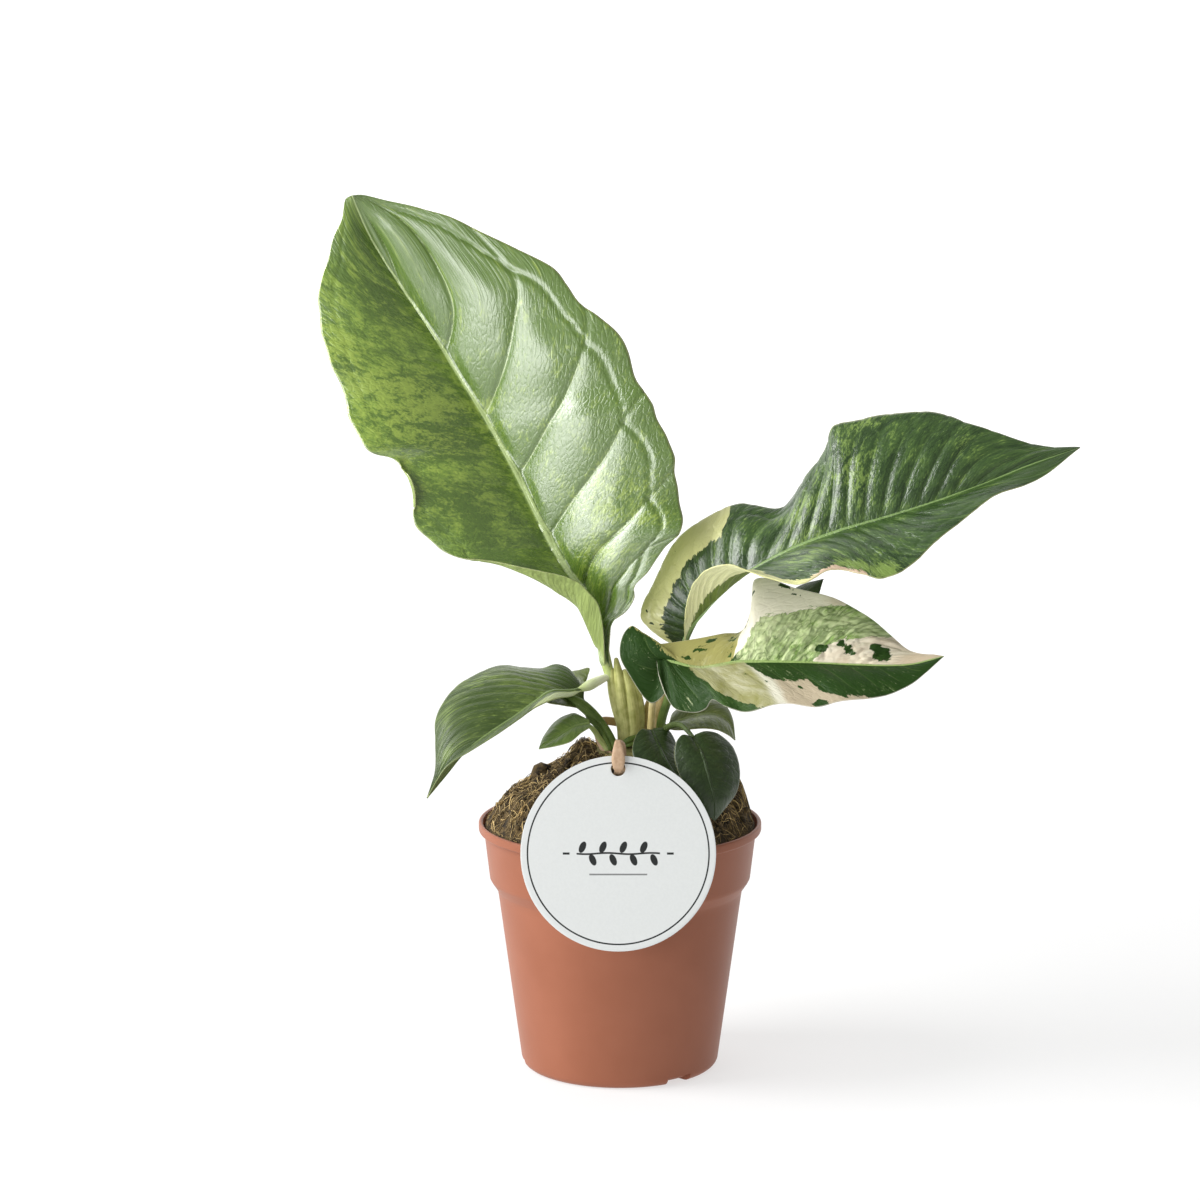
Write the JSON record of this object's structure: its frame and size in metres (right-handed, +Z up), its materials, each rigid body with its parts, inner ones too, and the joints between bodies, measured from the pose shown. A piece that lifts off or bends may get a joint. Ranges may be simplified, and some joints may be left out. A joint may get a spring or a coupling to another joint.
{
  "type": "potted anthurium",
  "caption": "Variegated anthurium with a large upright leaf, side leaves and small basal leaves, in a terracotta coloured nursery pot, with a round tag card.",
  "frame": {"origin": "centre of the pot's flat underside", "axes": "+Z up the pot's axis, -Y towards the front where the tag card leans, +X to the right as seen from the front"},
  "size_m": [0.3188, 0.1289, 0.367],
  "materials": {
    "pot_plastic": "satin terracotta coloured moulded plastic",
    "potting_mix": "loose peat and coir fibres",
    "crown": "dry sheath remains",
    "pale_sheath": "smooth, ribbed",
    "ochre_sheath": "dry, ribbed",
    "light_stalk": "smooth",
    "green_stalk": "smooth",
    "cream_stalk": "smooth",
    "light_blade": "glossy, mottled light and dark green",
    "dark_blade": "glossy dark green with light flecks",
    "marbled_blade": "cream and green marbling, satin",
    "card": "matt, with a thin printed ring",
    "band": "matt tan"
  },
  "bodies": {
    "root": {"pot": "pot_plastic", "potting_mix": "potting_mix", "crown": "crown", "main_shoot": "pale_sheath", "side_shoot": "ochre_sheath", "leaf_scale": "green_stalk", "large_leaf_blade": "light_blade", "large_leaf_petiole": "light_stalk", "upper_right_blade": "dark_blade", "upper_right_petiole": "green_stalk", "lower_right_blade": "marbled_blade", "lower_right_petiole": "cream_stalk", "left_blade": "dark_blade", "left_petiole": "cream_stalk", "under_left_blade": "dark_blade", "under_left_petiole": "green_stalk", "small_left_blade": "light_blade", "small_left_petiole": "light_stalk", "front_blade": "dark_blade", "front_petiole": "green_stalk", "hanging_blade": "dark_blade", "hanging_petiole": "green_stalk", "side_blade": "light_blade", "side_petiole": "green_stalk", "rear_blade": "dark_blade", "rear_petiole": "green_stalk", "tag_card": "card", "tag_band": "band"}
  },
  "joints": []
}
